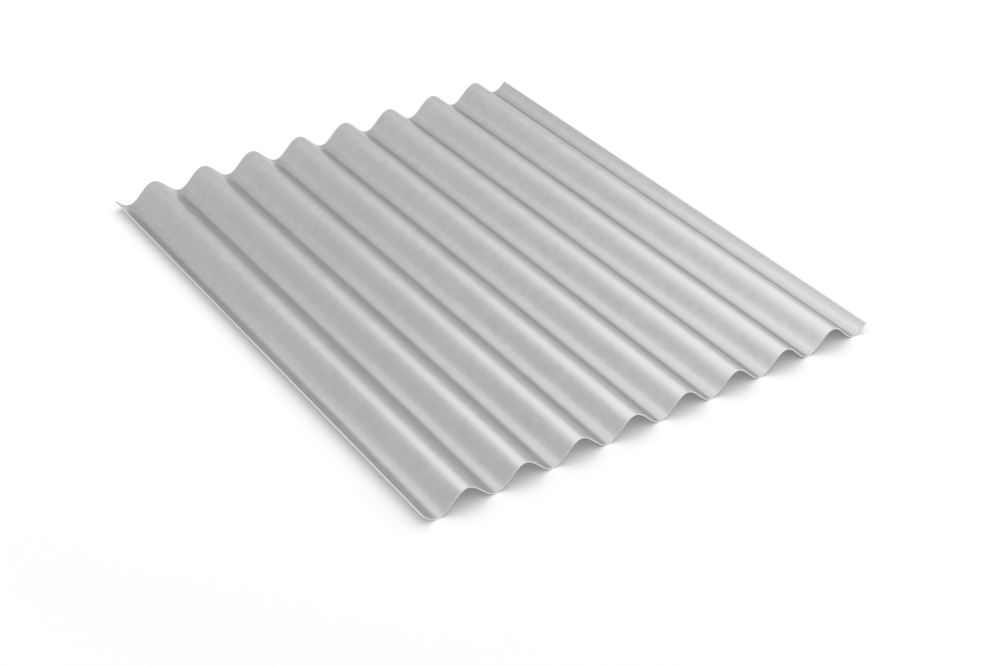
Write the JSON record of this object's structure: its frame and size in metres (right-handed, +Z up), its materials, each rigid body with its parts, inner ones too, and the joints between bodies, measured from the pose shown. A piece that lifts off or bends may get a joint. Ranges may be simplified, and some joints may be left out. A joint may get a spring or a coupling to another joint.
{
  "type": "corrugated galvanized roofing sheet",
  "caption": "Flat-lying rectangular steel sheet rolled into even rounded waves, with plain sheared ends and half-height long edges, for cladding roofs and walls.",
  "frame": {"origin": "on the floor, under the middle of the sheet", "axes": "+X across the waves, +Y along the waves, +Z up"},
  "size_m": [0.5766, 0.7066, 0.0235],
  "materials": {
    "galvanized_steel": "satin hot-dip zinc on cold-rolled steel, light grey, with no rust or paint"
  },
  "bodies": {
    "root": {"corrugated_sheet": "galvanized_steel"}
  },
  "joints": []
}
